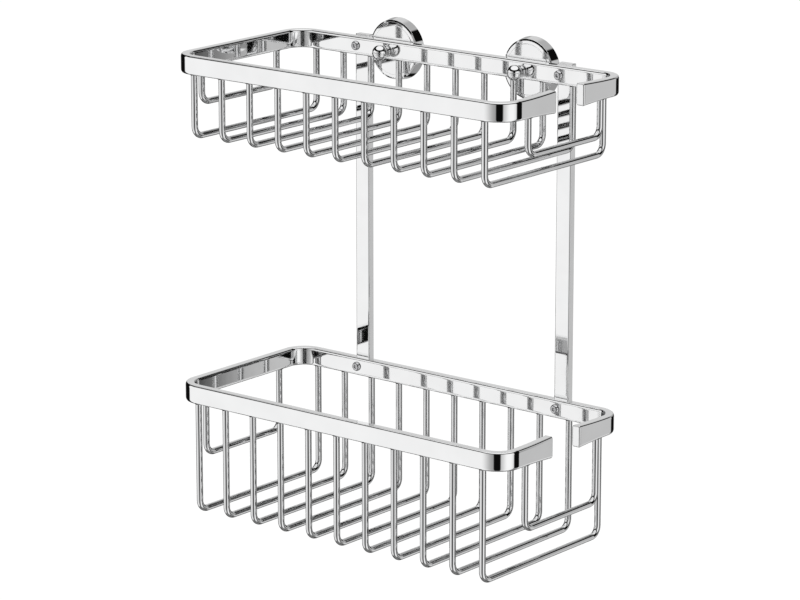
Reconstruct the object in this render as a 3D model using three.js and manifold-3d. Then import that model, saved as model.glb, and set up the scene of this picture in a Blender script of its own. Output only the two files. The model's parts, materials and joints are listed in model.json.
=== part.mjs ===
// Two-tier chrome shower caddy that hangs on a wall from two round roses.
// Units are millimetres. +X runs right along the wall, +Y points into the wall, +Z is up.
// The origin is the centre of the left wall plate's back face, so y = 0 is the wall.

import * as THREE from "three";
import { mergeVertices } from "three/addons/utils/BufferGeometryUtils.js";
import Module from "manifold-3d";

const wasm = await Module();
wasm.setup();

// ---- Driving dimensions ----

const GAP = 0.3; // clearance left between pieces that touch
const CHAMFER = 0.5; // on the small turned edges
const OVERSHOOT = 1; // how far a drill starts outside the face it enters
const HOLE_SIDES = 16;
const SMALL_SIDES = 24; // screws, knobs and collars
const FIXING_SPACING = 131.4; // between the two wall roses
const FIXING_DROP = 1; // from the middle of the upper rim down to the fixings' axes
const TIER_DROP = 261; // from the upper rim down to the lower rim

// Rims: flat bar on edge, bent to a rounded rectangle, with a gap in the right-hand end
const RIM_WIDTH = 322.7;
const RIM_DEPTH = 152.5;
const RIM_STANDOFF = 10; // wall to the back of the rim
const BAR_HEIGHT = 14.5;
const BAR_THICK = 7.5;
const BAR_EDGE = 1.1; // softened edges of the bar
const RIM_CORNER = 20; // outside radius
const CORNER_STEPS = 7;
const FRONT_STUB_END_Y = -101;
const BACK_STUB_END_Y = -67.5;
const STUB_FLARE = 1.2; // how far each stub end widens, above and below
const STUB_FLARE_LENGTH = 32;

// Wires: round rod bent to a U, butted to the underside of the rims
const WIRE_RADIUS = 2.5;
const WIRE_SIDES = 12;
const WIRE_BEND = 8; // on the centre line
const BEND_STEPS = 5;
const WIRE_COUNT = 11;
const WIRE_PITCH = 28;
const UPPER_WIRE_DROP = 55.5; // from the middle of the rim to the wire's centre line
const LOWER_WIRE_DROP = 94.3;
const UPPER_END_DROP = 35.3;
const LOWER_END_DROP = 57.6;
const END_LEG_SPREAD = 88.6; // between the two legs of an end wire

// Uprights: two flat bars behind the back rims
const UPRIGHT_WIDTH = 13.5;
const UPRIGHT_THICK = 6;
const UPRIGHT_EDGE = 0.8;
const UPRIGHT_TOP = 8;
const UPRIGHT_FOOT_RISE = 0.5; // above the lower rim's underside
const UPRIGHT_X = { left: -96.6, right: 101 };

// M4 button-head screws that hold the rims to the uprights
const SCREW_HEAD_RADIUS = 3.8;
const SCREW_HEAD_HEIGHT = 2.2;
const SCREW_DOME_STEPS = 4;
const SCREW_SHANK_RADIUS = 2;
const SCREW_REACH = 12.6; // length under the head
const SOCKET_FLATS = 2.5;
const SOCKET_DEPTH = 1.3;

// Wall fixings: plate with a post, rose cover over it, ball knob on an M5 stud
const ROSE_RADIUS = 24.6; // at the wall
const ROSE_FRONT_RADIUS = 23.4; // the side tapers a little
const ROSE_DEPTH = 9.2;
const ROSE_BEVEL = 1.3; // from the side in to the flat band
const ROSE_BEVEL_DEPTH = 0.75;
const ROSE_BAND = 2.4; // from the bevel in to the raised face
const ROSE_FACE_RISE = 0.4;
const ROSE_SHELL = 1.4;
const ROSE_SIDES = 40;
const PLATE_RADIUS = 20;
const PLATE_SIDES = 32;
const PLATE_THICK = 3;
const POST_RADIUS = 7;
const PLATE_HOLE_RADIUS = 2.4;
const PLATE_HOLE_OFFSET = 13.5;
const BALL_RADIUS = 6;
const BALL_STEPS = 10;
const BALL_STANDOFF = 8.15; // from the rim's inner face to the ball's centre
const NECK_RADIUS = 3.3;
const COLLAR_RADIUS = 4.8; // loose washer between the neck and the rim
const COLLAR_THICK = 1.3;
const STUD_RADIUS = 2.5;
const STUD_END_Y = -3.6;

// ---- Derived places, measured from the middle of the caddy ----

const BACK_OUTER_Y = -RIM_STANDOFF;
const BACK_INNER_Y = BACK_OUTER_Y - BAR_THICK;
const FRONT_OUTER_Y = BACK_OUTER_Y - RIM_DEPTH;
const BACK_LINE_Y = BACK_OUTER_Y - BAR_THICK / 2;
const FRONT_LINE_Y = FRONT_OUTER_Y + BAR_THICK / 2;
const END_LINE_X = RIM_WIDTH / 2 - BAR_THICK / 2;
const MIDDLE_Y = (BACK_OUTER_Y + FRONT_OUTER_Y) / 2;
const UPRIGHT_FOOT = -TIER_DROP - BAR_HEIGHT / 2 + UPRIGHT_FOOT_RISE;
const FIXING_X = { left: -FIXING_SPACING / 2, right: FIXING_SPACING / 2 };

// ---- Materials ----

function metal(color, roughness) {
  return new THREE.MeshStandardMaterial({ color, roughness, metalness: 1 });
}

const BAR_CHROME = metal(0xd9dcdf, 0.06);
const WIRE_CHROME = metal(0xd2d5d8, 0.08);
const ROSE_CHROME = metal(0xdcdfe2, 0.05);
const KNOB_CHROME = metal(0xd6d9dc, 0.05);
const SCREW_STEEL = metal(0xb9bcbf, 0.22);
const PLATE_ZINC = metal(0xa9adb0, 0.45);

// ---- Geometry helpers ----

// A polyline whose corners are rounded by arcs. Its sections stand square to the mitre at each vertex.
class RoundedPath extends THREE.Curve {
  constructor(corners, radius, steps) {
    super();
    this.vertices = [corners[0]];
    for (let i = 1; i < corners.length - 1; i++) {
      this.vertices.push(...arcAt(corners[i - 1], corners[i], corners[i + 1], radius, steps));
    }
    this.vertices.push(corners[corners.length - 1]);
  }

  get steps() {
    return this.vertices.length - 1;
  }

  getSpacedPoints() {
    return this.vertices;
  }

  getTangentAt(u, target = new THREE.Vector3()) {
    const i = Math.round(u * this.steps);
    const before = this.vertices[Math.max(i - 1, 0)];
    const here = this.vertices[i];
    const after = this.vertices[Math.min(i + 1, this.steps)];
    const arriving = here.clone().sub(before).normalize();
    const leaving = after.clone().sub(here).normalize();
    return target.copy(arriving).add(leaving).normalize();
  }
}

// The points of the arc that rounds the corner between two straight runs.
function arcAt(before, corner, after, radius, steps) {
  const back = before.clone().sub(corner).normalize();
  const on = after.clone().sub(corner).normalize();
  const half = back.angleTo(on) / 2;
  const bisector = back.clone().add(on).normalize();
  const centre = corner.clone().addScaledVector(bisector, radius / Math.sin(half));
  const start = corner.clone().addScaledVector(back, radius / Math.tan(half)).sub(centre);
  const axis = new THREE.Vector3().crossVectors(on, back).normalize();
  const turn = Math.PI - 2 * half;
  const points = [];
  for (let i = 0; i <= steps; i++) {
    points.push(start.clone().applyAxisAngle(axis, (turn * i) / steps).add(centre));
  }
  return points;
}

function sweep(section, path) {
  return new THREE.ExtrudeGeometry(section, { steps: path.steps, extrudePath: path });
}

// A rectangle with its corners cut off, as a section or an outline.
function softRectangle(width, height, edge) {
  const x = width / 2;
  const y = height / 2;
  return new THREE.Shape([
    new THREE.Vector2(-x + edge, -y),
    new THREE.Vector2(x - edge, -y),
    new THREE.Vector2(x, -y + edge),
    new THREE.Vector2(x, y - edge),
    new THREE.Vector2(x - edge, y),
    new THREE.Vector2(-x + edge, y),
    new THREE.Vector2(-x, y - edge),
    new THREE.Vector2(-x, -y + edge),
  ]);
}

function circle(radius, sides) {
  const points = [];
  for (let i = 0; i < sides; i++) {
    const angle = (i / sides) * 2 * Math.PI;
    points.push(new THREE.Vector2(radius * Math.cos(angle), radius * Math.sin(angle)));
  }
  return new THREE.Shape(points);
}

// A solid of revolution about Y. The profile lists [radius, y] and closes on itself or on the axis.
function turned(profile, segments) {
  const points = profile.map(([radius, y]) => new THREE.Vector2(radius, y));
  return new THREE.LatheGeometry(points, segments);
}

// A plain rod along Y from one y to another, at x and z.
function rod(radius, fromY, toY, sides, x = 0, z = 0) {
  const geometry = new THREE.CylinderGeometry(radius, radius, Math.abs(toY - fromY), sides);
  return geometry.translate(x, (fromY + toY) / 2, z);
}

function solid(geometry) {
  const bare = geometry.clone();
  bare.deleteAttribute("normal");
  bare.deleteAttribute("uv");
  const merged = mergeVertices(bare, 1e-4);
  return new wasm.Manifold(
    new wasm.Mesh({
      numProp: 3,
      vertProperties: new Float32Array(merged.attributes.position.array),
      triVerts: new Uint32Array(merged.index.array),
    }),
  );
}

function geometryOf(manifold) {
  const mesh = manifold.getMesh();
  const geometry = new THREE.BufferGeometry();
  geometry.setAttribute("position", new THREE.BufferAttribute(mesh.vertProperties, 3));
  geometry.setIndex(new THREE.BufferAttribute(mesh.triVerts, 1));
  geometry.computeVertexNormals();
  return geometry;
}

// The first geometry with every other one cut away from it.
function cut(geometry, ...tools) {
  return geometryOf(tools.reduce((left, tool) => left.subtract(solid(tool)), solid(geometry)));
}

function join(...geometries) {
  return geometryOf(geometries.map(solid).reduce((whole, piece) => whole.add(piece)));
}

// ---- Rims ----

// The bar runs from the front stub's free end round the front, left and back to the back stub's end.
function rimBar() {
  const at = (x, y) => new THREE.Vector3(x, y, 0);
  const path = new RoundedPath(
    [
      at(END_LINE_X, FRONT_STUB_END_Y),
      at(END_LINE_X, FRONT_LINE_Y),
      at(-END_LINE_X, FRONT_LINE_Y),
      at(-END_LINE_X, BACK_LINE_Y),
      at(END_LINE_X, BACK_LINE_Y),
      at(END_LINE_X, BACK_STUB_END_Y),
    ],
    RIM_CORNER - BAR_THICK / 2,
    CORNER_STEPS,
  );
  return sweep(softRectangle(BAR_HEIGHT, BAR_THICK, BAR_EDGE), path);
}

// A stub's free end grows taller toward the gap: a trapezium as thick as the bar.
function stubFlare(endY, towardGap) {
  const rootY = endY - towardGap * STUB_FLARE_LENGTH;
  const low = BAR_HEIGHT / 2 - BAR_EDGE / 4; // the root starts inside the bar
  const tall = BAR_HEIGHT / 2 + STUB_FLARE;
  const outline = new THREE.Shape([
    new THREE.Vector2(rootY, -low),
    new THREE.Vector2(endY, -tall),
    new THREE.Vector2(endY, tall),
    new THREE.Vector2(rootY, low),
  ]);
  const flare = new THREE.ExtrudeGeometry(outline, {
    depth: BAR_THICK - 2 * BAR_EDGE,
    bevelThickness: BAR_EDGE,
    bevelSize: BAR_EDGE,
    bevelOffset: -BAR_EDGE,
    bevelSegments: 1,
  });
  // the outline's own axes (y, z, depth) turn to the caddy's Y, Z and X
  flare.applyMatrix4(new THREE.Matrix4().set(0, 0, 1, 0, 1, 0, 0, 0, 0, 1, 0, 0, 0, 0, 0, 1));
  return flare.translate(END_LINE_X - BAR_THICK / 2 + BAR_EDGE, 0, 0);
}

function rim(holes) {
  const bar = join(
    rimBar(),
    stubFlare(FRONT_STUB_END_Y, 1),
    stubFlare(BACK_STUB_END_Y, -1),
  );
  const drills = holes.map(({ x, z, radius }) =>
    rod(radius + GAP, BACK_INNER_Y - OVERSHOOT, BACK_OUTER_Y + OVERSHOOT, HOLE_SIDES, x, z),
  );
  return cut(bar, ...drills);
}

function screwHoles() {
  return Object.values(UPRIGHT_X).map((x) => ({ x, z: 0, radius: SCREW_SHANK_RADIUS }));
}

function studHoles() {
  return Object.values(FIXING_X).map((x) => ({ x, z: -FIXING_DROP, radius: STUD_RADIUS }));
}

// ---- Wires ----

// A U in the YZ plane: down from the rim at one end, across, and up to the rim at the other.
function wire(frontY, backY, drop) {
  const top = -BAR_HEIGHT / 2 - GAP;
  const path = new RoundedPath(
    [
      new THREE.Vector3(0, frontY, top),
      new THREE.Vector3(0, frontY, -drop),
      new THREE.Vector3(0, backY, -drop),
      new THREE.Vector3(0, backY, top),
    ],
    WIRE_BEND,
    BEND_STEPS,
  );
  return sweep(circle(WIRE_RADIUS, WIRE_SIDES), path);
}

// ---- Uprights and their screws ----

function upright() {
  const height = UPRIGHT_TOP - UPRIGHT_FOOT;
  const frontY = BACK_OUTER_Y + GAP;
  const bar = new THREE.ExtrudeGeometry(softRectangle(UPRIGHT_WIDTH, UPRIGHT_THICK, UPRIGHT_EDGE), {
    depth: height,
    bevelEnabled: false,
  });
  bar.translate(0, frontY + UPRIGHT_THICK / 2, UPRIGHT_FOOT);
  const reachY = screwTipY() + GAP;
  const drills = [0, -TIER_DROP].map((z) =>
    rod(SCREW_SHANK_RADIUS + GAP, frontY - OVERSHOOT, reachY, HOLE_SIDES, 0, z),
  );
  return cut(bar, ...drills);
}

function screwTipY() {
  return BACK_INNER_Y - GAP + SCREW_REACH;
}

// A domed head with a hexagon socket, facing the front, on a plain shank.
function screw() {
  const seatY = BACK_INNER_Y - GAP;
  const crownY = seatY - SCREW_HEAD_HEIGHT;
  const dome = [];
  for (let i = 0; i <= SCREW_DOME_STEPS; i++) {
    const angle = (i / SCREW_DOME_STEPS) * (Math.PI / 2);
    dome.push([SCREW_HEAD_RADIUS * Math.sin(angle), seatY - SCREW_HEAD_HEIGHT * Math.cos(angle)]);
  }
  const body = turned(
    [
      ...dome,
      [SCREW_SHANK_RADIUS, seatY],
      [SCREW_SHANK_RADIUS, screwTipY() - CHAMFER],
      [SCREW_SHANK_RADIUS - CHAMFER, screwTipY()],
      [0, screwTipY()],
    ],
    SMALL_SIDES,
  );
  const cornerRadius = SOCKET_FLATS / Math.sqrt(3);
  const socket = rod(cornerRadius, crownY - OVERSHOOT, crownY + SOCKET_DEPTH, 6);
  return cut(body, socket);
}

// ---- Wall fixings ----

// The plate screws to the wall and its post stands out to the back of the rim, tapped for the stud.
function wallPlate() {
  const faceY = -PLATE_THICK;
  const body = turned(
    [
      [0, BACK_OUTER_Y + GAP],
      [POST_RADIUS - CHAMFER, BACK_OUTER_Y + GAP],
      [POST_RADIUS, BACK_OUTER_Y + GAP + CHAMFER],
      [POST_RADIUS, faceY],
      [PLATE_RADIUS - CHAMFER, faceY],
      [PLATE_RADIUS, faceY + CHAMFER],
      [PLATE_RADIUS, 0],
      [0, 0],
    ],
    PLATE_SIDES,
  );
  const tapping = rod(STUD_RADIUS + GAP, BACK_OUTER_Y - OVERSHOOT, STUD_END_Y + GAP, HOLE_SIDES);
  const screwHole = (side) =>
    rod(PLATE_HOLE_RADIUS, faceY - OVERSHOOT, OVERSHOOT, HOLE_SIDES, 0, side * PLATE_HOLE_OFFSET);
  return cut(body, tapping, screwHole(1), screwHole(-1));
}

// A spun cover, hollow behind, that hides the plate and fits round its post.
function rose() {
  const frontY = -ROSE_DEPTH;
  const bandY = frontY + ROSE_FACE_RISE;
  const bevelY = bandY + ROSE_BEVEL_DEPTH;
  const insideY = frontY + ROSE_SHELL;
  const bandRadius = ROSE_FRONT_RADIUS - ROSE_BEVEL;
  const faceRadius = bandRadius - ROSE_BAND;
  const hole = POST_RADIUS + GAP;
  return turned(
    [
      [hole, frontY],
      [faceRadius, frontY],
      [faceRadius + ROSE_FACE_RISE / 2, bandY],
      [bandRadius, bandY],
      [ROSE_FRONT_RADIUS, bevelY],
      [ROSE_RADIUS, -GAP],
      [ROSE_RADIUS - ROSE_SHELL, -GAP],
      [ROSE_FRONT_RADIUS - ROSE_SHELL, insideY + ROSE_BEVEL_DEPTH],
      [bandRadius - ROSE_SHELL / 2, insideY],
      [hole, insideY],
      [hole, frontY],
    ],
    ROSE_SIDES,
  );
}

// A washer that rides on the stud, between the rim's inner face and the knob's neck.
function collar() {
  const seatY = BACK_INNER_Y - GAP;
  const frontY = seatY - COLLAR_THICK;
  const bore = STUD_RADIUS + GAP;
  return turned(
    [
      [bore, frontY],
      [COLLAR_RADIUS - CHAMFER, frontY],
      [COLLAR_RADIUS, frontY + CHAMFER],
      [COLLAR_RADIUS, seatY],
      [bore, seatY],
      [bore, frontY],
    ],
    SMALL_SIDES,
  );
}

// A ball on a short neck, with the stud that runs through the collar and the rim into the post.
function knob() {
  const neckEndY = BACK_INNER_Y - COLLAR_THICK - 2 * GAP;
  const ballY = BACK_INNER_Y - BALL_STANDOFF;
  const neckAngle = Math.asin(NECK_RADIUS / BALL_RADIUS);
  const ball = [];
  for (let i = 0; i <= BALL_STEPS; i++) {
    const angle = (i / BALL_STEPS) * (Math.PI - neckAngle);
    ball.push([BALL_RADIUS * Math.sin(angle), ballY - BALL_RADIUS * Math.cos(angle)]);
  }
  return turned(
    [
      ...ball,
      [NECK_RADIUS, neckEndY],
      [STUD_RADIUS, neckEndY],
      [STUD_RADIUS, STUD_END_Y - CHAMFER],
      [STUD_RADIUS - CHAMFER, STUD_END_Y],
      [0, STUD_END_Y],
    ],
    SMALL_SIDES,
  );
}

// ---- Assembly ----

const caddy = new THREE.Group();
const frame = new THREE.Group(); // placed so that the left fixing is at the origin
frame.position.set(FIXING_SPACING / 2, 0, FIXING_DROP);
caddy.add(frame);

function place(parent, name, geometry, material, x = 0, z = 0) {
  const mesh = new THREE.Mesh(geometry, material);
  mesh.name = name;
  mesh.position.set(x, 0, z);
  parent.add(mesh);
}

// One tier: its rim, the row of U wires under it and the shallower wire at each end.
function addTier(name, z, holes, wireDrop, endDrop) {
  const tier = new THREE.Group();
  tier.position.z = z;
  frame.add(tier);
  place(tier, `${name}_rim`, rim(holes), BAR_CHROME);
  const bodyWire = wire(FRONT_LINE_Y, BACK_LINE_Y, wireDrop);
  for (let i = 0; i < WIRE_COUNT; i++) {
    const number = String(i + 1).padStart(2, "0");
    const x = (i - (WIRE_COUNT - 1) / 2) * WIRE_PITCH;
    place(tier, `${name}_wire_${number}`, bodyWire, WIRE_CHROME, x);
  }
  const endWire = wire(MIDDLE_Y - END_LEG_SPREAD / 2, MIDDLE_Y + END_LEG_SPREAD / 2, endDrop);
  place(tier, `${name}_end_wire_left`, endWire, WIRE_CHROME, -END_LINE_X);
  place(tier, `${name}_end_wire_right`, endWire, WIRE_CHROME, END_LINE_X);
}

addTier("upper", 0, [...screwHoles(), ...studHoles()], UPPER_WIRE_DROP, UPPER_END_DROP);
addTier("lower", -TIER_DROP, screwHoles(), LOWER_WIRE_DROP, LOWER_END_DROP);

const uprightBar = upright();
const uprightScrew = screw();
for (const [side, x] of Object.entries(UPRIGHT_X)) {
  place(frame, `upright_${side}`, uprightBar, BAR_CHROME, x);
  place(frame, `upper_screw_${side}`, uprightScrew, SCREW_STEEL, x);
  place(frame, `lower_screw_${side}`, uprightScrew, SCREW_STEEL, x, -TIER_DROP);
}

const plate = wallPlate();
const cover = rose();
const washer = collar();
const ballKnob = knob();
for (const [side, x] of Object.entries(FIXING_X)) {
  place(frame, `wall_plate_${side}`, plate, PLATE_ZINC, x, -FIXING_DROP);
  place(frame, `rose_${side}`, cover, ROSE_CHROME, x, -FIXING_DROP);
  place(frame, `knob_collar_${side}`, washer, KNOB_CHROME, x, -FIXING_DROP);
  place(frame, `ball_knob_${side}`, ballKnob, KNOB_CHROME, x, -FIXING_DROP);
}

export default caddy;
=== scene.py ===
"""A two-tier chrome shower caddy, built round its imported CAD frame.

Lengths are in metres in the part's own frame: +X right along the wall, +Y into the wall, +Z up.
Every place comes from the CAD nodes' boxes. The sizes below are the ones a box can't give.
"""

import json
import math

import bpy
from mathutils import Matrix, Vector

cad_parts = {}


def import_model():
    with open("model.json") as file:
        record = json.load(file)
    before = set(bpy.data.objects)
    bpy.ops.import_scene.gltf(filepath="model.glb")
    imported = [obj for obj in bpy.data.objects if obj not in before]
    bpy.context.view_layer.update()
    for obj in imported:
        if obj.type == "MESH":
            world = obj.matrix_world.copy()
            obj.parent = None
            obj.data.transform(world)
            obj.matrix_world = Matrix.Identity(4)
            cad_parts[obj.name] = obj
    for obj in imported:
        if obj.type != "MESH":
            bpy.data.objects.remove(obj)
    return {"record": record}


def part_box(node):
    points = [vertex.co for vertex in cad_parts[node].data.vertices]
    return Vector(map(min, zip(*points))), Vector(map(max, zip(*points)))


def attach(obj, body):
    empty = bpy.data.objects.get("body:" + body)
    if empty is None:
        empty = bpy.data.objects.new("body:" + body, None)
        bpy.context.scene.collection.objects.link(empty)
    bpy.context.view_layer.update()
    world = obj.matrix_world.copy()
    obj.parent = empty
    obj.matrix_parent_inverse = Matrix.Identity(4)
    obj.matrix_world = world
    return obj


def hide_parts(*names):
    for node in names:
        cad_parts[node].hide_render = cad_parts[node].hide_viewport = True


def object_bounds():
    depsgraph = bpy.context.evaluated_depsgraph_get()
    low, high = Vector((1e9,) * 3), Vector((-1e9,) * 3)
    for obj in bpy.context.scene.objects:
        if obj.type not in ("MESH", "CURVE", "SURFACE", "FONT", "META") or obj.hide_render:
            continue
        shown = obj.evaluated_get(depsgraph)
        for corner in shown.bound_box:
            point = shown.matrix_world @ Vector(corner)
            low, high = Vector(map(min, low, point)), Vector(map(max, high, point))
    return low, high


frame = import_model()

cad_low, cad_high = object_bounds()
record = frame["record"]

MM = 0.001
FULL_TURN = 2 * math.pi
QUARTER = math.pi / 2
SHARP = math.radians(32)  # two faces that meet at more than this have a hard edge between them

# Rims
BAR_HEIGHT = 14.5 * MM
BAR_THICK = 7.5 * MM
BAR_EDGE = (1.4 * MM, 2.4 * MM)  # reach of the rounding across the thickness and the height
BAR_END_EDGE = 1.2 * MM  # radius round the sawn ends
EDGE_STEPS = 12
RIM_CORNER = 20 * MM  # outside radius
RIM_CORNER_STEPS = 28
STUB_ENDS_Y = (-101 * MM, -67.5 * MM)  # front and back stub
FLARE = 1.2 * MM  # how far each stub end widens, above and below
FLARE_LENGTH = 32 * MM
FLARE_CURVE = 1.5  # 1 is a straight taper
FLARE_STEPS = 10

# Wires
WIRE_BEND = 8 * MM  # on the centre line
WIRE_BEND_STEPS = 14
WIRE_SIDES = 28
WELD = 0.9 * MM  # fillet where a wire meets the rim
WELD_STEPS = 6
WELD_SINK = 0.05 * MM  # how far a wire's end goes into the rim

# Uprights
UPRIGHT_EDGE = (1.2 * MM, 0.8 * MM)  # across the width and the thickness
UPRIGHT_END_EDGE = 0.7 * MM

# Button-head screws
SCREW_HEAD_HEIGHT = 2.2 * MM
SCREW_SHANK_RADIUS = 2 * MM
SCREW_TIP_CHAMFER = 0.5 * MM
SCREW_SIDES = 48
SCREW_DOME_STEPS = 8
SOCKET_APOTHEM = 1.25 * MM  # half of the 2.5 mm across the socket's flats
SOCKET_DEPTH = 1.3 * MM
SOCKET_POINT = 0.55 * MM  # depth of the drill's cone below the socket's floor
SOCKET_POINT_RADIUS = 0.25 * MM
SOCKET_MOUTH = (0.1 * MM, 0.32 * MM)  # from and to these depths the socket narrows to its flats
SOCKET_MOUTH_SPREAD = 1.1  # apothem of the mouth, in apothems of the socket
SOCKET_FLOOR_SPREAD = 0.98
SOCKET_LAND = 1.3  # radius of the flat round the socket, in apothems
SCREW_BREAK = 0.05 * MM  # small step at the socket's floor and under the head

# Wall roses
ROSE_TAPER = 1.2 * MM  # from the wall to the bevel
ROSE_BEVEL = 1.3 * MM
ROSE_BEVEL_DEPTH = 0.75 * MM
ROSE_BAND = 2.4 * MM  # flat band between the bevel and the raised face
ROSE_FACE_RISE = 0.4 * MM
ROSE_SOFTEN = 0.3 * MM  # radius where the bevel meets its neighbours
ROSE_SHELL = 1.4 * MM
ROSE_LIP = 0.25 * MM
ROSE_HOLE_GAP = 0.3 * MM  # round the post
ROSE_INSET = 0.002 * MM  # keeps the rounded-off rose inside its CAD box
ROSE_SIDES = 144

# Wall plates
POST_RADIUS = 7 * MM
PLATE_EDGE = 0.5 * MM
PLATE_BACK_EDGE = 0.3 * MM
PLATE_THICK = 3 * MM
BORE_GAP = 0.3 * MM  # round the stud
BORE_FLOOR = 3.3 * MM  # metal left between the bore and the wall
BORE_POINT = 0.9 * MM  # the drill's cone at the end of the bore
PLATE_HOLE_RADIUS = 2.4 * MM
PLATE_HOLE_OFFSET = 13.5 * MM  # from the post's axis, above and below
COUNTERSINK = 1.6 * MM
DRILL_BEYOND = 1 * MM  # how far a drill reaches past both faces
DRILL_SIDES = 40

# Knobs
NECK_RADIUS = 3.3 * MM
NECK_EDGE = 0.3 * MM
NECK_STANDOFF = 1.9 * MM  # room for the collar, from the rim's face to the neck
WAIST = 1.1 * MM  # radius of the hollow between ball and neck
COLLAR_GAP = 0.2 * MM  # round the stud
COLLAR_EDGE = 0.5 * MM
COLLAR_LIP = 0.3 * MM
STUD_RADIUS = 2.5 * MM
STUD_STANDOFF = 2.2 * MM  # from the rim's face to the stud's start, inside the neck
STUD_CHAMFER = 0.7 * MM
STUD_SIDES = 40
THREAD_PITCH = 0.8 * MM
THREAD_DEPTH = 0.42 * MM
THREAD_STEPS = 10  # rings of points in each turn
PIN = 0.2 * MM  # radius at which a turned profile stops short of its axis
TURNED_SIDES = 96

# Chrome
TINT = (0.915, 0.917, 0.92)
WIRE_TINT = (0.84, 0.843, 0.847)  # duller than the bars
CLOUD_SHADE = 0.955  # how much of the tint is left in the darkest clouds
RIPPLE = 0.0024 * MM
WIRE_RIPPLE = 0.0006 * MM
LATHE_DEPTH = 0.0006 * MM

# Studio and camera
DOME_RADIUS = 9.0
DOME_COLUMNS = 720
DOME_ROWS = 240
DOME_REACH = 89.9  # degrees of elevation, just short of the poles
DARKNESS = 0.004  # what the metal sees between the softboxes
FLOOR_HALF = 14.0
FLOOR_DROP = 0.42  # the caddy hangs clear of the floor
FLOOR_GREYS = (0.905, 0.915)
WORLD_STRENGTH = 1.13
CAMERA_PLACE = (1.7960, -2.2312, 0.5294)
CAMERA_DOWN = 14.355  # degrees below the horizon
CAMERA_TURN = 38.838  # degrees to the left of straight at the wall
CAMERA_LENS = 167.0
CAMERA_SENSOR = 36
CAMERA_CLIP = 60


# ---- The node's body and slot, from the record ----

body_of_node = {n: b for b, nodes in record["behaviour"]["bodies"].items() for n in nodes}
slot_of_node = {s["node"]: s["material_slot"] for s in record["subparts"]}


# ---- Mesh code ----

def solid(name, points, faces):
    """A smooth-shaded mesh with its faces turned to point outwards."""
    volume = 0
    for face in faces:
        a = points[face[0]]
        for b, c in zip(face[1:], face[2:]):
            volume += a.dot(points[b].cross(points[c]))
    if volume < 0:
        faces = [tuple(reversed(face)) for face in faces]
    mesh = bpy.data.meshes.new(name)
    mesh.from_pydata(points, [], faces)
    mesh.update()
    for polygon in mesh.polygons:
        polygon.use_smooth = True
    return mesh


def tube(rings, sides, closed=False):
    """Faces between rings of points. The last ring joins the first, or each end has a cap."""
    faces = []
    for i in range(rings if closed else rings - 1):
        j = (i + 1) % rings
        for k in range(sides):
            m = (k + 1) % sides
            faces.append((i * sides + k, i * sides + m, j * sides + m, j * sides + k))
    if not closed:
        faces.append(tuple(reversed(range(sides))))
        faces.append(tuple((rings - 1) * sides + k for k in range(sides)))
    return faces


def skin(name, rings, normals, closed=False):
    """A solid through rings of points, with its own normals."""
    points = [p for ring in rings for p in ring]
    mesh = solid(name, points, tube(len(rings), len(rings[0]), closed))
    outs = [tuple(n.normalized()) for ring in normals for n in ring]
    mesh.normals_split_custom_set_from_vertices(outs)
    return mesh


def soft_rectangle(half_width, half_height, reach):
    """Points and normals of a rectangle, anticlockwise. Its corners are quarter ellipses."""
    points, normals = [], []
    for corner, (sx, sy) in enumerate(((1, 1), (-1, 1), (-1, -1), (1, -1))):
        centre = Vector((sx * (half_width - reach[0]), sy * (half_height - reach[1])))
        for step in range(EDGE_STEPS + 1):
            angle = QUARTER * (corner + step / EDGE_STEPS)
            x, y = math.cos(angle), math.sin(angle)
            points.append(centre + Vector((reach[0] * x, reach[1] * y)))
            normals.append(Vector((x / reach[0], y / reach[1])).normalized())
    return points, normals


def bar(name, stations, up, half_width, heights, edge, end_edge):
    """A bar with rounded ends, swept along stations (place, tangent).

    heights holds half the bar's height at each station.
    """
    rings, normals = [], []

    def ring(place, tangent, half_height, inset, tilt):
        side = tangent.cross(up)
        reach = [e - inset for e in edge]
        shape, outs = soft_rectangle(half_width - inset, half_height - inset, reach)
        rings.append([place + side * p.x + up * p.y for p in shape])
        lean, flat = tangent * math.sin(tilt), math.cos(tilt)
        normals.append([(side * n.x + up * n.y) * flat + lean for n in outs])

    steps = [k / EDGE_STEPS * QUARTER for k in range(EDGE_STEPS + 1)]
    first, last = stations[0], stations[-1]
    for angle in reversed(steps[1:]):
        inset = end_edge * (1 - math.cos(angle))
        place = first[0] + first[1] * end_edge * (1 - math.sin(angle))
        ring(place, first[1], heights[0], inset, -angle)
    ring(first[0] + first[1] * end_edge, first[1], heights[0], 0, 0)
    for (place, tangent), half_height in zip(stations[1:-1], heights[1:-1]):
        ring(place, tangent, half_height, 0, 0)
    ring(last[0] - last[1] * end_edge, last[1], heights[-1], 0, 0)
    for angle in steps[1:]:
        inset = end_edge * (1 - math.cos(angle))
        place = last[0] - last[1] * end_edge * (1 - math.sin(angle))
        ring(place, last[1], heights[-1], inset, angle)
    return skin(name, rings, normals)


def rounded_path(corners, radius, steps):
    """Stations (place, tangent) along a polyline whose corners are arcs."""
    stations = [(corners[0], (corners[1] - corners[0]).normalized())]
    for before, corner, after in zip(corners, corners[1:], corners[2:]):
        arriving = (corner - before).normalized()
        leaving = (after - corner).normalized()
        start = corner - arriving * radius
        centre = start + leaving * radius
        for step in range(steps + 1):
            angle = QUARTER * step / steps
            out = -leaving * math.cos(angle) + arriving * math.sin(angle)
            tangent = arriving * math.cos(angle) + leaving * math.sin(angle)
            stations.append((centre + out * radius, tangent))
    stations.append((corners[-1], (corners[-1] - corners[-2]).normalized()))
    return stations


def arc(centre, radius, start, end, steps, hollow=False):
    """Points (radius, y) of a turned profile, with normals, along an arc.

    Angles are in degrees: 0 points away from the axis and 90 into the wall.
    """
    made = []
    for step in range(steps + 1):
        angle = math.radians(start + (end - start) * step / steps)
        out = Vector((math.cos(angle), math.sin(angle)))
        made.append((Vector(centre) + radius * out, -out if hollow else out))
    return made


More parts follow.
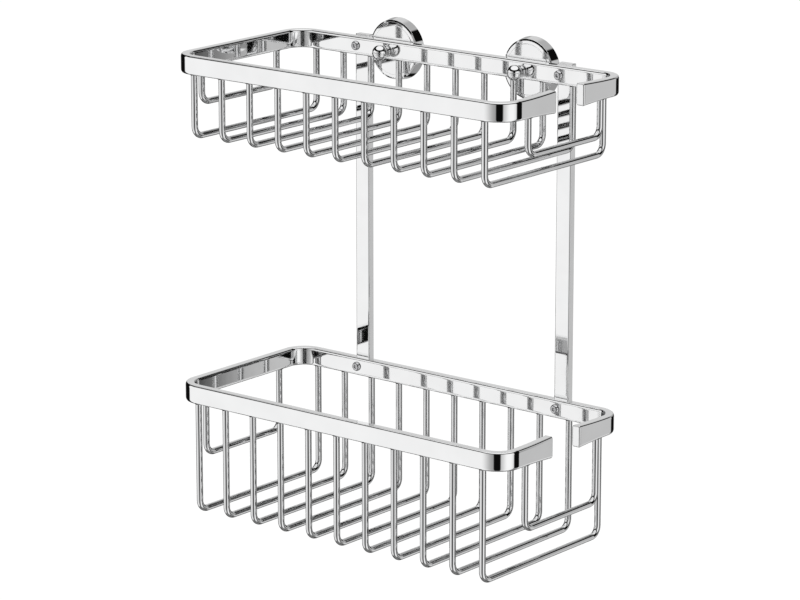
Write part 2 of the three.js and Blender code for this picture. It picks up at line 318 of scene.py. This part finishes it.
def turned(name, profile, closed=False, sides=TURNED_SIDES):
    """A solid of revolution about Y from profile points (radius, y) with normals.

    A closed profile is a ring. An open one starts and ends near the axis and is capped there.
    """
    rings, normals = [], []
    for point, out in profile:
        ring, ring_normals = [], []
        for k in range(sides):
            angle = FULL_TURN * k / sides
            spoke = Vector((math.cos(angle), 0, math.sin(angle)))
            ring.append(spoke * point.x + Vector((0, point.y, 0)))
            ring_normals.append(spoke * out.x + Vector((0, out.y, 0)))
        rings.append(ring)
        normals.append(ring_normals)
    return skin(name, rings, normals, closed)


def add_object(name, data, location=(0, 0, 0)):
    made = bpy.data.objects.new(name, data)
    bpy.context.scene.collection.objects.link(made)
    made.location = location
    return made


def show(node, mesh, location=(0, 0, 0)):
    """Puts a finished mesh in place of its CAD node, on the same body and slot."""
    piece = add_object(node + "_shown", mesh, location)
    piece.data.materials.append(materials[slot_of_node[node]])
    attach(piece, body_of_node[node])
    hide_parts(node)


# ---- Materials ----

class Nodes:
    """A short way to wire up one material."""

    def __init__(self, name):
        self.material = bpy.data.materials.new(name)
        self.material.use_nodes = True
        self.tree = self.material.node_tree
        self.shader = self.tree.nodes["Principled BSDF"]
        self.place = self.add("ShaderNodeTexCoord").outputs["Object"]

    def add(self, kind, **settings):
        node = self.tree.nodes.new(kind)
        for key, value in settings.items():
            if key in node.inputs:
                node.inputs[key].default_value = value
            else:
                setattr(node, key, value)
        return node

    def link(self, source, target):
        self.tree.links.new(source, target)

    def noise(self, scale, detail):
        """Noise from 0 to 1, with about scale features per metre."""
        noise = self.add("ShaderNodeTexNoise", Scale=scale, Detail=detail)
        self.link(self.place, noise.inputs["Vector"])
        return noise.outputs["Fac"]

    def spread(self, value, low, high):
        """Maps noise, which keeps between 0.3 and 0.7, onto a range."""
        ramp = self.add("ShaderNodeMapRange")
        for socket, number in (("From Min", 0.3), ("From Max", 0.7), ("To Min", low), ("To Max", high)):
            ramp.inputs[socket].default_value = number
        self.link(value, ramp.inputs["Value"])
        return ramp.outputs["Result"]

    def blend(self, factor, dark, light):
        """A colour between two, by a factor from 0 to 1."""
        mix = self.add("ShaderNodeMix", data_type="RGBA")
        mix.inputs["A"].default_value = (*dark, 1)
        mix.inputs["B"].default_value = (*light, 1)
        self.link(factor, mix.inputs["Factor"])
        return mix.outputs["Result"]

    def bump(self, height, distance, below=None):
        """Relief so many metres deep, on top of another bump if one is given."""
        bump = self.add("ShaderNodeBump", Strength=1.0, Distance=distance)
        self.link(height, bump.inputs["Height"])
        if below is not None:
            self.link(below, bump.inputs["Normal"])
        return bump.outputs["Normal"]

    def rings(self, pitch):
        """Fine lathe lines round the Y axis."""
        split = self.add("ShaderNodeSeparateXYZ")
        self.link(self.place, split.inputs["Vector"])
        flat = self.add("ShaderNodeCombineXYZ")
        self.link(split.outputs["X"], flat.inputs["X"])
        self.link(split.outputs["Z"], flat.inputs["Y"])
        length = self.add("ShaderNodeVectorMath", operation="LENGTH")
        self.link(flat.outputs["Vector"], length.inputs["Vector"])
        noise = self.add("ShaderNodeTexNoise", noise_dimensions="1D", Scale=1 / pitch, Detail=3.0)
        self.link(length.outputs["Value"], noise.inputs["W"])
        return noise.outputs["Fac"]

    def finish(self, metallic, colour, roughness, normal):
        """Wires the finished colour, roughness and surface into the shader."""
        self.shader.inputs["Metallic"].default_value = metallic
        self.link(colour, self.shader.inputs["Base Color"])
        self.link(roughness, self.shader.inputs["Roughness"])
        self.link(normal, self.shader.inputs["Normal"])
        return self.material


def chrome(name, tint, gloss, ripple, lathe=None):
    """Bright plate: faint clouds, patchy gloss, a shallow ripple and, if turned, lathe lines."""
    nodes = Nodes(name)
    clouds = nodes.spread(nodes.noise(scale=45, detail=4.0), 0, 1)
    clouded = tuple(c * CLOUD_SHADE for c in tint)
    surface = nodes.bump(nodes.noise(scale=120, detail=1.0), ripple)
    if lathe is not None:
        surface = nodes.bump(nodes.rings(lathe), LATHE_DEPTH, surface)
    return nodes.finish(
        metallic=1.0,
        colour=nodes.blend(clouds, clouded, tint),
        roughness=nodes.spread(nodes.noise(scale=160, detail=5.0), *gloss),
        normal=surface,
    )


def steel(name):
    """Polished stainless steel with lathe lines."""
    nodes = Nodes(name)
    clouds = nodes.spread(nodes.noise(scale=300, detail=4.0), 0, 1)
    return nodes.finish(
        metallic=1.0,
        colour=nodes.blend(clouds, (0.58, 0.58, 0.59), (0.70, 0.70, 0.71)),
        roughness=nodes.spread(nodes.noise(scale=900, detail=4.0), 0.05, 0.11),
        normal=nodes.bump(nodes.rings(pitch=0.12 * MM), distance=0.0015 * MM),
    )


def zinc(name):
    """Dull plated steel with a faint spangle."""
    nodes = Nodes(name)
    spangle = nodes.add("ShaderNodeTexVoronoi", Scale=420.0)
    nodes.link(nodes.place, spangle.inputs["Vector"])
    return nodes.finish(
        metallic=0.45,
        colour=nodes.blend(spangle.outputs["Color"], (0.44, 0.46, 0.47), (0.60, 0.62, 0.63)),
        roughness=nodes.spread(nodes.noise(scale=500, detail=5.0), 0.28, 0.5),
        normal=nodes.bump(nodes.noise(scale=1500, detail=4.0), distance=0.02 * MM),
    )


materials = {
    "bar_chrome": chrome("bar_chrome", TINT, gloss=(0.015, 0.045), ripple=RIPPLE),
    "wire_chrome": chrome("wire_chrome", WIRE_TINT, gloss=(0.012, 0.03), ripple=WIRE_RIPPLE),
    "rose_chrome": chrome("rose_chrome", TINT, gloss=(0.015, 0.04), ripple=RIPPLE, lathe=0.1 * MM),
    "knob_chrome": chrome("knob_chrome", TINT, gloss=(0.015, 0.04), ripple=RIPPLE, lathe=0.08 * MM),
    "screw_steel": steel("screw_steel"),
    "plate_zinc": zinc("plate_zinc"),
}


# ---- Rims ----

def rim(node):
    """Flat bar on edge round four corners, open at the right, its two stub ends a little taller."""
    low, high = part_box(node)
    level = (low.z + high.z) / 2
    right, left = high.x - BAR_THICK / 2, low.x + BAR_THICK / 2
    front, back = low.y + BAR_THICK / 2, high.y - BAR_THICK / 2
    front_end, back_end = STUB_ENDS_Y
    up = Vector((0, 0, 1))

    def at(x, y):
        return Vector((x, y, level))

    corners = [
        at(right, front_end),
        at(right, front),
        at(left, front),
        at(left, back),
        at(right, back),
        at(right, back_end),
    ]
    stations = rounded_path(corners, RIM_CORNER - BAR_THICK / 2, RIM_CORNER_STEPS)
    first, last = stations[0], stations[-1]
    flare = [k / FLARE_STEPS for k in range(1, FLARE_STEPS + 1)]
    opening = [(first[0] + first[1] * FLARE_LENGTH * t, first[1]) for t in flare]
    closing = [(last[0] - last[1] * FLARE_LENGTH * t, last[1]) for t in reversed(flare)]
    half = BAR_HEIGHT / 2
    taper = [half + FLARE * (1 - t) ** FLARE_CURVE for t in flare]
    stations = [first, *opening, *stations[1:-1], *closing, last]
    plain = len(stations) - 2 - 2 * FLARE_STEPS
    heights = [half + FLARE, *taper, *[half] * plain, *reversed(taper), half + FLARE]
    return bar(node, stations, up, BAR_THICK / 2, heights, BAR_EDGE, BAR_END_EDGE)


for node in ("upper_rim", "lower_rim"):
    show(node, rim(node))


# ---- Wires ----

def wire(node, top):
    """A rod bent to a U, with a small weld fillet where each leg meets the rim."""
    low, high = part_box(node)
    radius = (high.x - low.x) / 2
    x = (low.x + high.x) / 2
    front, back, bottom = low.y + radius, high.y - radius, low.z + radius
    outline = ((front, top), (front, bottom), (back, bottom), (back, top))
    stations = rounded_path([Vector((x, y, z)) for y, z in outline], WIRE_BEND, WIRE_BEND_STEPS)
    across = Vector((1, 0, 0))
    turns = [FULL_TURN * k / WIRE_SIDES for k in range(WIRE_SIDES)]
    rings, normals = [], []

    def ring(place, tangent, size, tilt):
        side = tangent.cross(across)
        spokes = [across * math.cos(turn) + side * math.sin(turn) for turn in turns]
        rings.append([place + spoke * size for spoke in spokes])
        normals.append([spoke * math.cos(tilt) + tangent * math.sin(tilt) for spoke in spokes])

    fillet = [k / WELD_STEPS * QUARTER for k in range(WELD_STEPS, -1, -1)]
    first, last = stations[0], stations[-1]
    for angle in fillet:
        size = radius + WELD * (1 - math.cos(angle))
        ring(first[0] + first[1] * WELD * (1 - math.sin(angle)), first[1], size, angle)
    for place, tangent in stations[1:-1]:
        ring(place, tangent, radius, 0)
    for angle in reversed(fillet):
        size = radius + WELD * (1 - math.cos(angle))
        ring(last[0] - last[1] * WELD * (1 - math.sin(angle)), last[1], size, -angle)
    return skin(node, rings, normals)


for node in sorted(slot_of_node):
    if "_wire_" in node:
        tier = node.split("_")[0]
        low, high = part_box(tier + "_rim")
        underside = (low.z + high.z) / 2 - BAR_HEIGHT / 2
        show(node, wire(node, underside + WELD_SINK))


# ---- Uprights ----

def upright(node):
    """A straight flat bar that fills its box."""
    low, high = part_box(node)
    half = (high - low) / 2
    x, y = (low.x + high.x) / 2, (low.y + high.y) / 2
    down, outward = Vector((0, 0, -1)), Vector((0, -1, 0))
    stations = [(Vector((x, y, z)), down) for z in (high.z, low.z)]
    return bar(node, stations, outward, half.x, [half.y] * 2, UPRIGHT_EDGE, UPRIGHT_END_EDGE)


for side in ("left", "right"):
    show("upright_" + side, upright("upright_" + side))


# ---- Screws ----

def screw(node):
    """A button head with a hexagon socket, on a plain shank."""
    low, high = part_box(node)
    head = (high.x - low.x) / 2
    crown, tip = low.y, high.y
    seat = crown + SCREW_HEAD_HEIGHT
    socket_floor = crown + SOCKET_DEPTH
    land = SOCKET_APOTHEM * SOCKET_LAND
    # each row is a radius, a depth and whether it's a hexagon, from the socket out and back
    rows = [
        (SOCKET_POINT_RADIUS, socket_floor + SOCKET_POINT, False),
        (SOCKET_APOTHEM * SOCKET_FLOOR_SPREAD, socket_floor, True),
        (SOCKET_APOTHEM, socket_floor - SCREW_BREAK, True),
        (SOCKET_APOTHEM, crown + SOCKET_MOUTH[1], True),
        (SOCKET_APOTHEM * SOCKET_MOUTH_SPREAD, crown + SOCKET_MOUTH[0], True),
    ]
    for k in range(SCREW_DOME_STEPS + 1):
        angle = QUARTER * (1 - k / SCREW_DOME_STEPS)
        radius = land + (head - land) * math.cos(angle)
        rows.append((radius, seat - (seat - crown) * math.sin(angle), False))
    rows += [
        (head, seat + SCREW_BREAK, False),
        (SCREW_SHANK_RADIUS, seat + SCREW_BREAK, False),
        (SCREW_SHANK_RADIUS, tip - SCREW_TIP_CHAMFER, False),
        (SCREW_SHANK_RADIUS - SCREW_TIP_CHAMFER, tip, False),
    ]
    sixth = FULL_TURN / 6
    points = []
    for radius, y, hexagonal in rows:
        for k in range(SCREW_SIDES):
            angle = FULL_TURN * k / SCREW_SIDES
            reach = radius
            if hexagonal:
                reach /= math.cos((angle + sixth / 2) % sixth - sixth / 2)
            points.append(Vector((reach * math.cos(angle), y, reach * math.sin(angle))))
    mesh = solid(node, points, tube(len(rows), SCREW_SIDES))
    mesh.set_sharp_from_angle(angle=SHARP)
    return mesh


def axis_of(node):
    """The point on the wall plane where a turned piece's axis meets it."""
    low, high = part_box(node)
    return Vector(((low.x + high.x) / 2, 0, (low.z + high.z) / 2))


for node in sorted(slot_of_node):
    if "_screw_" in node:
        show(node, screw(node), axis_of(node))


# ---- Wall roses ----

def rose(node):
    """A spun cup: tapered side, bevel, flat band, raised face and a hole for the post."""
    low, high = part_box(node)
    radius = (high.x - low.x) / 2 - ROSE_INSET
    front, back = low.y, high.y
    hole = POST_RADIUS + ROSE_HOLE_GAP
    lip = ROSE_LIP
    side = radius - ROSE_TAPER
    inner = radius - ROSE_SHELL
    band = front + ROSE_FACE_RISE
    band_radius = side - ROSE_BEVEL
    face_radius = band_radius - ROSE_BAND
    inside = front + ROSE_SHELL
    step = ROSE_FACE_RISE / 2
    soft = ROSE_SOFTEN
    bevel = math.degrees(math.atan2(ROSE_BEVEL, ROSE_BEVEL_DEPTH))
    bevel_end = band + ROSE_BEVEL_DEPTH
    corner = math.radians(bevel / 2)
    profile = [
        *arc((hole + lip, front + lip), lip, 180, 270, 3),
        *arc((face_radius - step, front + step), step, -90, -15, 5),
        *arc((face_radius + step, band - step), step, 165, 90, 4, hollow=True),
        *arc((band_radius - soft / 2, band + soft), soft, -90, -bevel, 4),
        *arc((side - soft * math.cos(corner), bevel_end + soft * math.sin(corner)), soft, -bevel, 0, 5),
        *arc((radius - lip, back - lip), lip, 0, 90, 4),
        *arc((inner + lip, back - lip), lip, 90, 180, 3),
        *arc((side - ROSE_SHELL - step, inside + ROSE_BEVEL_DEPTH), step, 0, -90, 5, hollow=True),
        *arc((hole + lip, inside - lip), lip, 90, 180, 3),
    ]
    return turned(node, profile, closed=True, sides=ROSE_SIDES)


# ---- Wall plates ----

def plate(node):
    """A disc with a bored post, and a countersunk hole above and below the post."""
    low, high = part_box(node)
    radius = (high.x - low.x) / 2
    post_end, back = low.y, high.y
    face = back - PLATE_THICK
    edge, back_edge = PLATE_EDGE, PLATE_BACK_EDGE
    bore = STUD_RADIUS + BORE_GAP
    bore_end = back - BORE_FLOOR
    profile = [
        (Vector((PIN, bore_end + BORE_POINT)), Vector((-0.5, -0.85))),
        (Vector((bore, bore_end)), Vector((-1, -0.2))),
        (Vector((bore, post_end + edge)), Vector((-1, 0))),
        *arc((bore + edge, post_end + edge), edge, 180, 270, 3),
        *arc((POST_RADIUS - edge, post_end + edge), edge, -90, 0, 4),
        *arc((POST_RADIUS + edge, face - edge), edge, 180, 90, 4, hollow=True),
        *arc((radius - edge, face + edge), edge, -90, 0, 4),
        *arc((radius - back_edge, back - back_edge), back_edge, 0, 90, 3),
        (Vector((PIN, back)), Vector((0, 1))),
    ]
    return drilled(turned(node, profile), [countersunk_drill(face, back, side) for side in (1, -1)])


def countersunk_drill(face, back, side):
    """A tool that cuts one wall screw's hole, above or below the post."""
    rows = [
        (PLATE_HOLE_RADIUS + COUNTERSINK + DRILL_BEYOND, face - DRILL_BEYOND),
        (PLATE_HOLE_RADIUS, face + COUNTERSINK),
        (PLATE_HOLE_RADIUS, back + DRILL_BEYOND),
    ]
    points = []
    for radius, y in rows:
        for k in range(DRILL_SIDES):
            angle = FULL_TURN * k / DRILL_SIDES
            z = side * PLATE_HOLE_OFFSET + radius * math.sin(angle)
            points.append(Vector((radius * math.cos(angle), y, z)))
    return solid("drill", points, tube(len(rows), DRILL_SIDES))


def drilled(mesh, tools):
    """The mesh with every tool cut away from it."""
    blank = add_object("blank", mesh)
    cutters = [add_object("cutter", tool) for tool in tools]
    for cutter in cutters:
        modifier = blank.modifiers.new("cut", "BOOLEAN")
        modifier.operation, modifier.solver, modifier.object = "DIFFERENCE", "EXACT", cutter
    cut = blank.evaluated_get(bpy.context.evaluated_depsgraph_get())
    made = bpy.data.meshes.new_from_object(cut)
    made.set_sharp_from_angle(angle=SHARP)
    for done in (blank, *cutters):
        bpy.data.objects.remove(done)
    return made


# ---- Knobs ----

def rim_face():
    """Where the front face of the upper rim's back run is."""
    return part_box("upper_rim")[1].y - BAR_THICK


def knob(node):
    """A ball on a waisted neck. Its threaded stud is a piece of its own."""
    low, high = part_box(node)
    ball = (high.x - low.x) / 2
    centre = low.y + ball
    seat = rim_face() - NECK_STANDOFF
    # the waist's arc touches the ball and the neck
    waist_radius = NECK_RADIUS + WAIST
    reach = math.sqrt((ball + WAIST) ** 2 - waist_radius ** 2)
    touch = math.degrees(math.atan2(reach, waist_radius))
    profile = [
        *arc((0, centre), ball, -89, touch, 40),
        *arc((waist_radius, centre + reach), WAIST, touch - 180, -180, 6, hollow=True),
        *arc((NECK_RADIUS - NECK_EDGE, seat - NECK_EDGE), NECK_EDGE, 0, 90, 3),
        (Vector((STUD_RADIUS * 0.9, seat)), Vector((0, 1))),  # flat end, hidden by the stud
        (Vector((PIN, seat)), Vector((0, 1))),
    ]
    return turned(node, profile)


def stud(node):
    """The M5 stud as a right-hand thread, from inside the neck to its chamfered end."""
    start, end = rim_face() - STUD_STANDOFF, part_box(node)[1].y
    count = int((end - start) / THREAD_PITCH * THREAD_STEPS) + 1
    points = []
    for i in range(count + 1):
        y = start + (end - start) * i / count
        chamfer = max(0.0, y - (end - STUD_CHAMFER))
        for k in range(STUD_SIDES):
            phase = (y / THREAD_PITCH + k / STUD_SIDES) % 1
            root = abs(2 * phase - 1)  # 0 on the thread's crest, 1 at its root
            radius = min(STUD_RADIUS - THREAD_DEPTH * root, STUD_RADIUS - chamfer)
            angle = FULL_TURN * k / STUD_SIDES
            points.append(Vector((radius * math.cos(angle), y, radius * math.sin(angle))))
    return solid(node, points, tube(count + 1, STUD_SIDES))


def collar(node):
    """A loose washer with its front edge rounded."""
    low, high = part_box(node)
    radius = (high.x - low.x) / 2
    bore = STUD_RADIUS + COLLAR_GAP
    edge, lip = COLLAR_EDGE, COLLAR_LIP
    profile = [
        *arc((bore + lip, low.y + lip), lip, 180, 270, 3),
        *arc((radius - edge, low.y + edge), edge, -90, 0, 5),
        *arc((radius - lip, high.y - lip), lip, 0, 90, 3),
        *arc((bore + lip, high.y - lip), lip, 90, 180, 3),
    ]
    return turned(node, profile, closed=True)


for side in ("left", "right"):
    axis = axis_of("rose_" + side)
    show("wall_plate_" + side, plate("wall_plate_" + side), axis)
    show("rose_" + side, rose("rose_" + side), axis)
    show("knob_collar_" + side, collar("knob_collar_" + side), axis)
    show("ball_knob_" + side, knob("ball_knob_" + side), axis)
    shank = add_object("ball_knob_" + side + "_stud", stud("ball_knob_" + side), axis)
    shank.data.materials.append(materials["knob_chrome"])
    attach(shank, body_of_node["ball_knob_" + side])


# ---- Studio ----

def smooth_step(value, start, end):
    """0 before start and 1 after end, with an easy slope between."""
    t = min(max((value - start) / (end - start), 0.0), 1.0)
    return t * t * (3 - 2 * t)


def panel(azimuth, elevation, across, up, soft):
    """1 inside a softbox, falling to 0 over soft degrees at its edges.

    across and up are the azimuths and elevations it fills.
    """
    off = abs((azimuth - (across[0] + across[1]) / 2 + 180) % 360 - 180) - (across[1] - across[0]) / 2
    within = 1 - smooth_step(off, -soft / 2, soft / 2)
    rise = smooth_step(elevation, up[0] - soft / 2, up[0] + soft / 2)
    fall = 1 - smooth_step(elevation, up[1] - soft / 2, up[1] + soft / 2)
    return within * rise * fall


def studio(azimuth, elevation):
    """The light the metal sees in one direction, in degrees.

    Azimuth 0 looks out into the room, 90 to the right and 180 into the wall.
    """
    light = DARKNESS
    # front: a large softbox that fades to the right
    fade = smooth_step(azimuth, -40, 22)
    light += (0.97 - 0.62 * fade) * panel(azimuth, elevation, (-72, 20), (-58, 26), soft=5)
    # right: a second one, brightest in its middle
    glow = 0.40 * smooth_step(azimuth, 50, 80) - 0.2 * smooth_step(azimuth, 92, 109)
    light += (0.62 + glow) * panel(azimuth, elevation, (50, 109), (-58, 26), soft=6)
    # wall side: a narrow strip on the right, a panel on the left, a high one over both that
    # brightens to the left, and a dim one low down
    light += 0.56 * panel(azimuth, elevation, (139, 159), (-40, 17), soft=2)
    light += 0.44 * panel(azimuth, elevation, (195, 240), (-24, 6), soft=8)
    lift = 0.22 * smooth_step(azimuth % 360, 196, 210)
    light += (0.46 + lift) * panel(azimuth, elevation, (166, 232), (6, 43), soft=6)
    light += 0.32 * panel(azimuth, elevation, (112, 196), (-50, -28), soft=8)
    # overhead, and a faint glow from below
    light += 1.02 * smooth_step(elevation, 46, 51)
    light += 0.20 * smooth_step(-elevation, 54, 64)
    return light


def dome():
    """A large sphere round the set that only the metal's reflections see."""
    points, shades = [], []
    for j in range(DOME_ROWS + 1):
        elevation = -DOME_REACH + 2 * DOME_REACH * j / DOME_ROWS
        for i in range(DOME_COLUMNS):
            azimuth = -180 + 360 * i / DOME_COLUMNS
            a, e = math.radians(azimuth), math.radians(elevation)
            out = (math.sin(a) * math.cos(e), -math.cos(a) * math.cos(e), math.sin(e))
            points.append([DOME_RADIUS * c for c in out])
            shades.append(studio(azimuth, elevation))
    faces = []
    for j in range(DOME_ROWS):
        low, high = j * DOME_COLUMNS, (j + 1) * DOME_COLUMNS
        for i in range(DOME_COLUMNS):
            k = (i + 1) % DOME_COLUMNS
            faces.append((low + i, high + i, high + k, low + k))
    mesh = bpy.data.meshes.new("studio_dome")
    mesh.from_pydata(points, [], faces)
    mesh.update()
    tone = mesh.color_attributes.new("tone", "FLOAT_COLOR", "POINT")
    tone.data.foreach_set("color", [c for s in shades for c in (s, s, s, 1.0)])
    made = add_object("studio_dome", mesh, (cad_low + cad_high) / 2)
    material = bpy.data.materials.new("studio_light")
    material.use_nodes = True
    tree = material.node_tree
    tree.nodes.clear()
    read = tree.nodes.new("ShaderNodeVertexColor")
    read.layer_name = "tone"
    glow = tree.nodes.new("ShaderNodeEmission")
    out = tree.nodes.new("ShaderNodeOutputMaterial")
    tree.links.new(read.outputs["Color"], glow.inputs["Color"])
    tree.links.new(glow.outputs["Emission"], out.inputs["Surface"])
    material.cycles.emission_sampling = "NONE"
    made.data.materials.append(material)
    for ray in ("camera", "diffuse", "shadow", "transmission", "volume_scatter"):
        setattr(made, "visible_" + ray, False)


def floor():
    """A pale floor that the metal doesn't reflect."""
    size = FLOOR_HALF
    corners = [(-size, -size, 0), (size, -size, 0), (size, size, 0), (-size, size, 0)]
    mesh = bpy.data.meshes.new("floor")
    mesh.from_pydata(corners, [], [(0, 1, 2, 3)])
    made = add_object("floor", mesh, (0, 0, cad_low.z - FLOOR_DROP))
    nodes = Nodes("floor")
    nodes.shader.inputs["Roughness"].default_value = 0.9
    nodes.shader.inputs["Specular IOR Level"].default_value = 0.0
    clouds = nodes.spread(nodes.noise(scale=3, detail=3.0), 0, 1)
    dark, light = ((grey,) * 3 for grey in FLOOR_GREYS)
    nodes.link(nodes.blend(clouds, dark, light), nodes.shader.inputs["Base Color"])
    made.data.materials.append(nodes.material)
    made.visible_glossy = False


def world():
    """An even white sky: the backdrop, and the light on whatever isn't polished."""
    made = bpy.data.worlds.new("studio")
    made.use_nodes = True
    background = made.node_tree.nodes["Background"]
    background.inputs["Color"].default_value = (1, 1, 1, 1)
    background.inputs["Strength"].default_value = WORLD_STRENGTH
    bpy.context.scene.world = made


def camera():
    data = bpy.data.cameras.new("camera")
    data.sensor_width = CAMERA_SENSOR
    data.lens = CAMERA_LENS
    data.clip_end = CAMERA_CLIP
    made = add_object("camera", data, CAMERA_PLACE)
    made.rotation_euler = (math.radians(90 - CAMERA_DOWN), 0, math.radians(CAMERA_TURN))
    bpy.context.scene.camera = made


dome()
floor()
world()
camera()
bpy.context.scene.view_settings.view_transform = "Standard"
